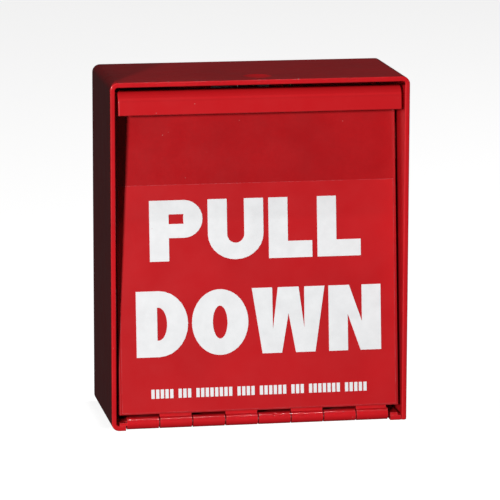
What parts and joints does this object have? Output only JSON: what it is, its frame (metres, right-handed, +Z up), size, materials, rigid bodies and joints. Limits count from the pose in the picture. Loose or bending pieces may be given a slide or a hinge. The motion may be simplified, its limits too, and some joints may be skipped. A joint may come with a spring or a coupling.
{
  "type": "fire service lock box",
  "caption": "Surface-mounted red steel lock box with a bottom-hinged drop-down door, a finger lip, and a padlockable lever that works a snap-action switch inside.",
  "frame": {"origin": "centre of the back face, which lies against the wall", "axes": "+Y into the wall, +Z up, -Y out towards the user"},
  "size_m": [0.1142, 0.0508, 0.1334],
  "materials": {
    "red_paint": "semi-gloss powder coat",
    "door_paint": "semi-gloss powder coat",
    "red_film": "satin vinyl film",
    "zinc_steel": "zinc plated",
    "plated_steel": "bright zinc plated",
    "spring_steel": "drawn wire",
    "bronze": "sintered",
    "brass_blades": "satin",
    "black_rubber": "matt",
    "black_plastic": "moulded",
    "red_vinyl": "dipped vinyl",
    "red_plastic": "moulded"
  },
  "bodies": {
    "case": {"box_wrapper": "red_paint", "back_panel": "red_paint", "seam_weld": "red_paint", "back_tack_welds": "red_paint", "hinge_frame_leaf": "red_paint", "hinge_pin": "plated_steel", "door_stops": "red_paint", "door_bumpers": "black_rubber", "lock_bracket": "zinc_steel", "weld_studs": "plated_steel", "stud_washers": "plated_steel", "stud_nuts": "plated_steel", "shaft_bushes": "bronze", "stop_rod": "plated_steel", "lever_spring": "spring_steel", "switch_body": "black_plastic", "switch_cover": "black_plastic", "leaf_pin": "plated_steel", "switch_terminals": "brass_blades", "switch_screws": "plated_steel", "switch_nuts": "plated_steel", "wire_bushing": "black_plastic"},
    "door": {"door_plate": "door_paint", "door_decal": "red_film", "hinge_door_leaf": "red_paint"},
    "lever": {"lock_lever": "zinc_steel", "lever_grip": "red_vinyl", "lever_shaft": "plated_steel", "lever_spacers": "plated_steel", "shaft_ring": "spring_steel", "switch_cam": "brass_blades"},
    "switch_arm": {"switch_leaf": "spring_steel"},
    "switch_button": {"switch_plunger": "red_plastic"}
  },
  "joints": [
    {"name": "door_hinge", "type": "hinge", "parent": "case", "child": "door", "pos_m": [0, -0.0485, -0.06423], "axis": [1, 0, 0], "range_deg": [0, 180]},
    {"name": "lever_pivot", "type": "hinge", "parent": "case", "child": "lever", "pos_m": [0, -0.014, 0.03], "axis": [-1, 0, 0], "range_deg": [0, 20], "stiffness_Nm_per_rad": 0.05, "springref_deg": -28.65, "deforming": ["lever_spring"]},
    {"name": "switch_arm_pivot", "type": "hinge", "parent": "case", "child": "switch_arm", "pos_m": [0.01665, -0.0314, 0.0363], "axis": [-1, 0, 0], "range_deg": [0, 5]},
    {"name": "switch_button_slide", "type": "slide", "parent": "case", "child": "switch_button", "axis": [0, 0, -1], "range_m": [0, 0.0009]}
  ],
  "couplings": [
    {"joint": "switch_arm_pivot", "follows": "lever_pivot", "ratio": 0.2499},
    {"joint": "switch_button_slide", "follows": "lever_pivot", "m_per_rad": 0.002577}
  ]
}
